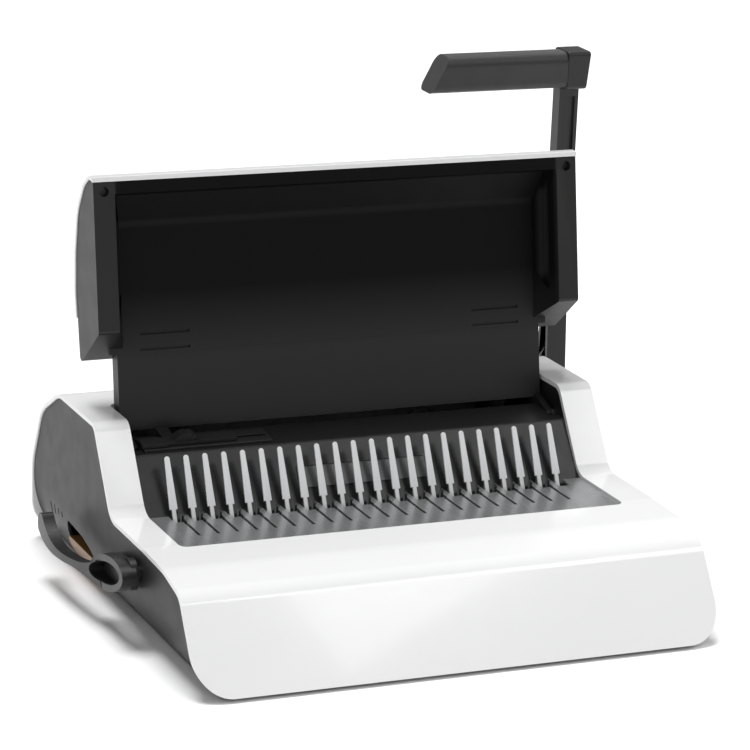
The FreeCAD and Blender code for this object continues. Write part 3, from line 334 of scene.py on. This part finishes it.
# ---- softened pieces -------------------------------------------------------------------------
def softened(node, width):
    """A copy of a CAD node with its edges rounded over width mm, which stands for the node."""
    obj = placed(f"{node}_moulded", NODES[node].data.copy())
    mesh = bmesh.new()
    mesh.from_mesh(obj.data)
    bmesh.ops.remove_doubles(mesh, verts=mesh.verts, dist=WELD_DISTANCE)
    bmesh.ops.dissolve_limit(mesh, angle_limit=FLAT_ANGLE, verts=mesh.verts, edges=mesh.edges,
                             delimit={"NORMAL"})
    mesh.to_mesh(obj.data)
    mesh.free()
    for polygon in obj.data.polygons:
        polygon.use_smooth = True
    bevel = obj.modifiers.new("edges", "BEVEL")
    bevel.width = width * MM
    bevel.segments = BEVEL_SEGMENTS
    bevel.limit_method = "ANGLE"
    bevel.angle_limit = BEVEL_ANGLE
    bevel.use_clamp_overlap = True
    bevel.miter_outer = "MITER_ARC"
    normals = obj.modifiers.new("normals", "WEIGHTED_NORMAL")
    normals.keep_sharp = True
    dress(obj, SLOT_OF[node])
    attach(obj, BODY_OF[node])
    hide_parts(node)
    return obj


# The moulded and pressed pieces' edge rounding, in mm.
SOFT_EDGES = {
    "top_cover": 1.1, "rear_cover": 0.9, "lid_cover": 0.9, "lid_liner": 0.8,
    "left_side_panel": 0.5, "right_side_panel": 0.5, "throat_housing": 0.5,
    "lever_arm": 1.0, "lever_grip": 0.8, "lever_grip_collar": 1.0, "lever_hub_cap": 0.6,
    "comb_lever": 1.2, "guide_knob": 0.5, "guide_slider": 0.35, "guide_rail": 0.35,
    "deck_plate": 0.3, "comb_fingers": 0.3, "opener_hooks": 0.25, "chip_tray": 0.5,
}

for node, obj in NODES.items():
    dress(obj, SLOT_OF[node])
for node, width in SOFT_EDGES.items():
    softened(node, width)


# ---- stage -----------------------------------------------------------------------------------
def make_floor():
    """A wide matt white floor."""
    corners = [(FLOOR_HALF * x, FLOOR_HALF * y, 0) for x, y in ((-1, -1), (1, -1), (1, 1), (-1, 1))]
    mesh = bpy.data.meshes.new("floor")
    mesh.from_pydata(corners, [], [(0, 1, 2, 3)])
    floor = placed("floor", mesh)
    finish = Finish("floor")
    finish.set(Base_Color=(0.93, 0.93, 0.935, 1.0), Roughness=0.8, Specular_IOR_Level=0.1)
    mesh.materials.append(finish.material)


def area_light(name, place, target, power, width, height):
    """A rectangular lamp of power watts at place, turned towards target."""
    data = bpy.data.lights.new(name, "AREA")
    data.energy = power
    data.shape = "RECTANGLE"
    data.size = width
    data.size_y = height
    light = placed(name, data)
    light.location = place
    direction = Vector(target) - Vector(place)
    light.rotation_euler = direction.to_track_quat("-Z", "Y").to_euler()


def sun_light(name, towards, strength, spread):
    """A broad, even light from one side of the sky; spread is its width in degrees."""
    data = bpy.data.lights.new(name, "SUN")
    data.energy = strength
    data.angle = math.radians(spread)
    light = placed(name, data)
    light.rotation_euler = Vector(towards).to_track_quat("Z", "Y").to_euler()


def make_world():
    """An even white surround."""
    world = bpy.data.worlds.new("studio")
    world.use_nodes = True
    background = world.node_tree.nodes["Background"]
    background.inputs["Color"].default_value = (1.0, 1.0, 1.0, 1.0)
    background.inputs["Strength"].default_value = WORLD_STRENGTH
    bpy.context.scene.world = world


def make_camera():
    """Looks back along its own azimuth and elevation, turned about its line of sight."""
    level = math.cos(CAMERA_ELEVATION)
    back = Vector((math.sin(CAMERA_AZIMUTH) * level, -math.cos(CAMERA_AZIMUTH) * level,
                   math.sin(CAMERA_ELEVATION)))
    right = Vector((math.cos(CAMERA_AZIMUTH), math.sin(CAMERA_AZIMUTH), 0.0))
    up = back.cross(right)
    rolled_right = right * math.cos(CAMERA_ROLL) + up * math.sin(CAMERA_ROLL)
    rolled_up = up * math.cos(CAMERA_ROLL) - right * math.sin(CAMERA_ROLL)
    data = bpy.data.cameras.new("camera")
    data.sensor_width = SENSOR_WIDTH
    data.lens = CAMERA_LENS
    data.clip_end = CAMERA_REACH
    basis = Matrix((rolled_right, rolled_up, back)).transposed().to_4x4()
    basis.translation = Vector(CAMERA_PLACE)
    camera = placed("camera", data)
    camera.matrix_world = basis
    bpy.context.scene.camera = camera


make_floor()
make_world()
sun_light("overhead", towards=(-0.06, 0.24, 1.0), strength=2.9, spread=26)
area_light("fill", (-2.2, -2.6, 1.9), LIGHT_AIM, power=24, width=1.6, height=1.6)
area_light("softbox", (1.1, -1.3, 1.95), LIGHT_AIM, power=7.5, width=1.1, height=0.6)
area_light("side", (1.7, 1.3, 1.1), (0.1, -0.05, 0.05), power=14, width=1.0, height=1.0)
make_camera()
bpy.context.scene.view_settings.view_transform = "Standard"
